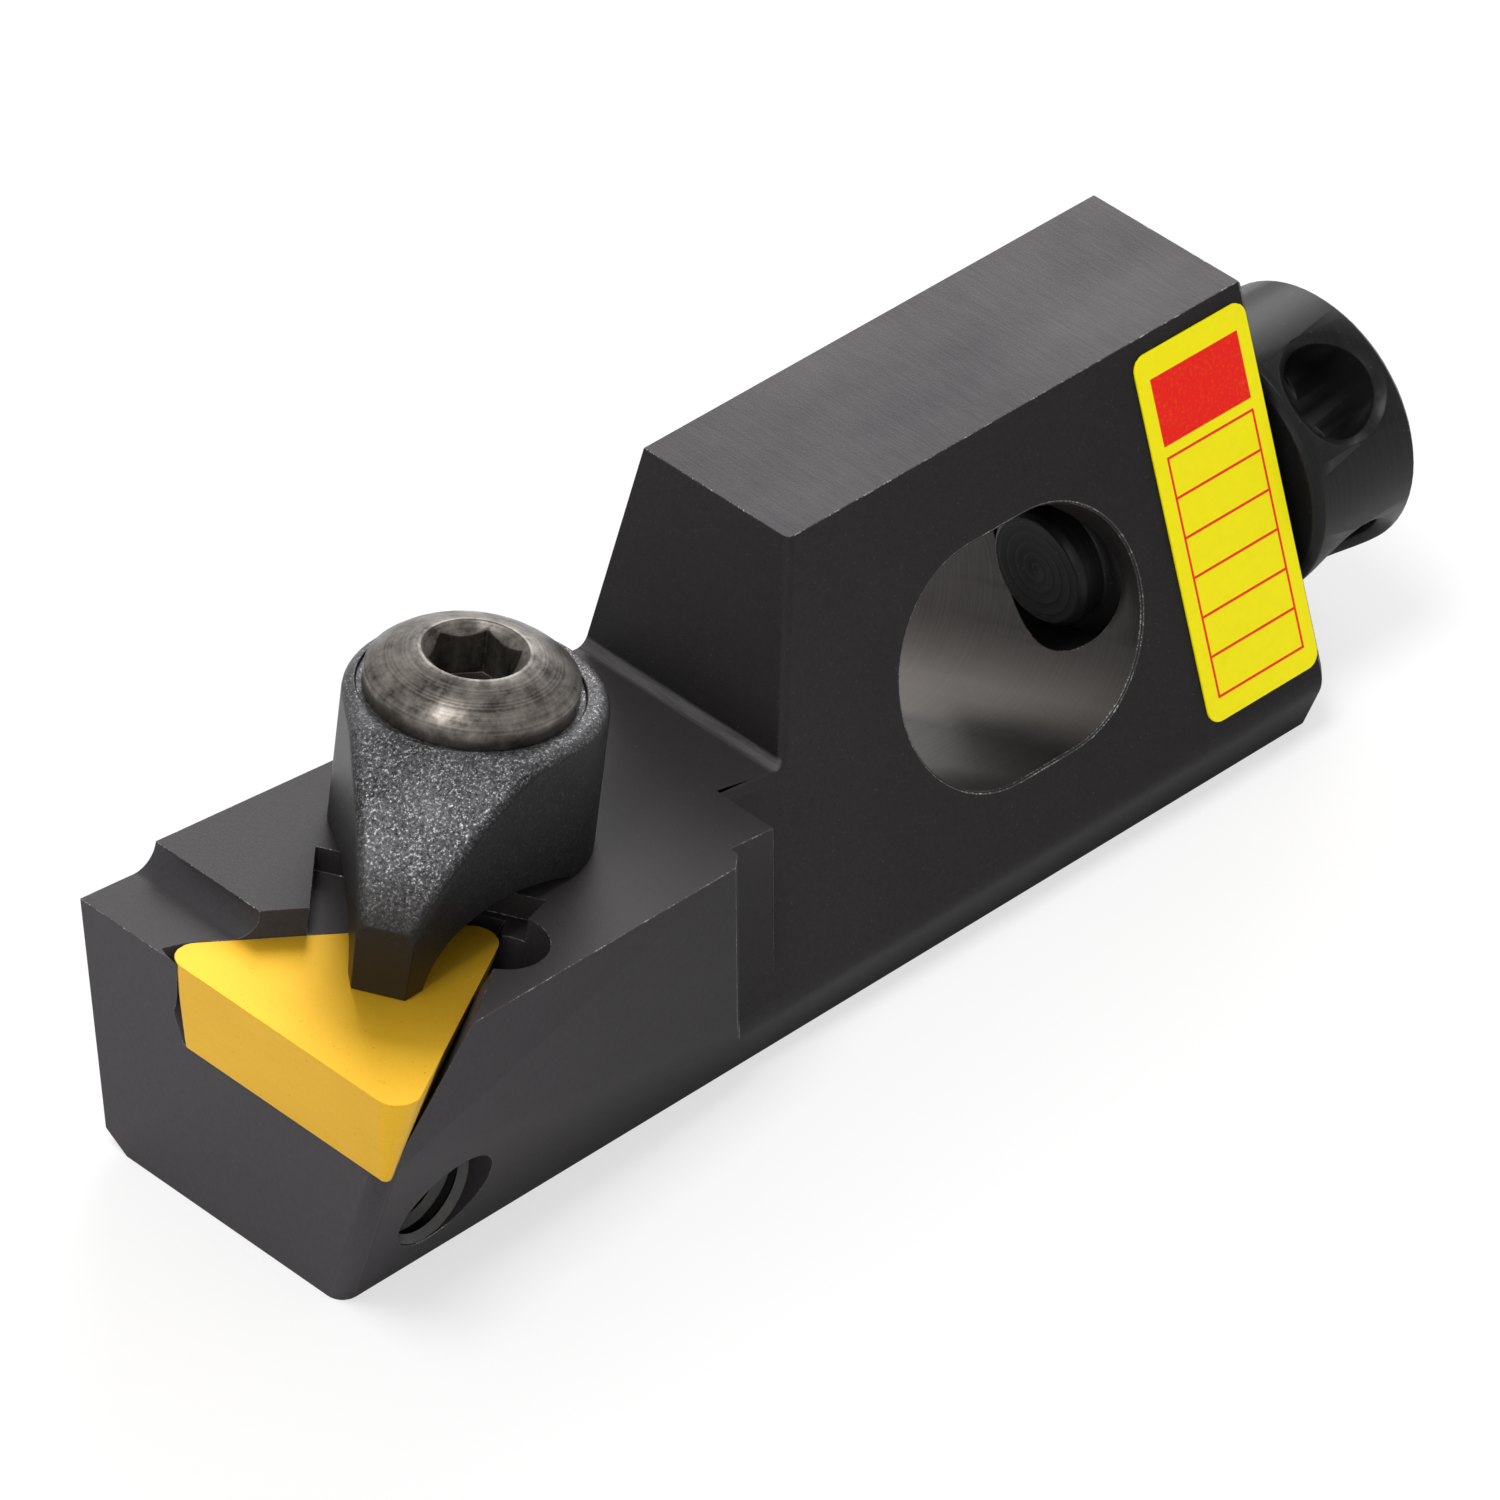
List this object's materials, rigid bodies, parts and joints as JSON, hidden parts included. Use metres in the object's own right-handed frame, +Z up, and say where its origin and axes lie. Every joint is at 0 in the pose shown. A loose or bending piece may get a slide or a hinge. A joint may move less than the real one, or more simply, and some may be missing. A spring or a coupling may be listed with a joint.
{
  "type": "turning tool cartridge",
  "caption": "Steel boring-bar cartridge: slotted block with a finger-clamped triangular insert and axial and radial adjusting screws.",
  "frame": {"origin": "on the bottom seat face, below the middle of the mounting slot and on the line of the axial screw", "axes": "+X towards the cutting edge, +Y towards the insert nose and the leaning face, +Z up from the bottom seat"},
  "size_m": [0.048, 0.0134, 0.0162],
  "materials": {
    "body_steel": "black oxide, satin, ground top",
    "insert_coating": "gold coating, satin",
    "clamp_steel": "black oxide over a blasted surface",
    "clamp_screw_steel": "worn black oxide, turned",
    "ring_steel": "spring steel",
    "adjusting_screw_steel": "glossy black oxide",
    "set_screw_steel": "black oxide",
    "label_film": "yellow film with plain red fields"
  },
  "bodies": {
    "root": {"cartridge_body": "body_steel", "cutting_insert": "insert_coating", "stock_label": "label_film"},
    "clamp": {"top_clamp": "clamp_steel"},
    "clamp_screw_body": {"clamp_screw": "clamp_screw_steel", "clamp_retaining_ring": "ring_steel"},
    "axial_screw": {"axial_adjusting_screw": "adjusting_screw_steel"},
    "radial_screw": {"radial_adjusting_screw": "set_screw_steel"}
  },
  "joints": [
    {"name": "clamp_lift", "type": "slide", "parent": "root", "child": "clamp", "axis": [-0.1045, 0, 0.9945], "range_m": [0, 0.00157]},
    {"name": "clamp_screw_turn", "type": "hinge", "parent": "clamp", "child": "clamp_screw_body", "pos_m": [0.0203, -0.00058, 0.00972], "axis": [-0.1045, 0, 0.9945], "range_deg": [0, 810]},
    {"name": "axial_screw_turn", "type": "hinge", "parent": "root", "child": "axial_screw", "pos_m": [-0.012, 0, 0.0071], "axis": [1, 0, 0], "range_deg": [-360, 360]},
    {"name": "radial_screw_turn", "type": "hinge", "parent": "root", "child": "radial_screw", "pos_m": [0.0268, 0, 0.0029], "axis": [0, 1, 0], "range_deg": [-360, 360]}
  ],
  "couplings": [
    {"joint": "clamp_screw_turn", "follows": "clamp_lift", "rad_per_m": 8976}
  ]
}
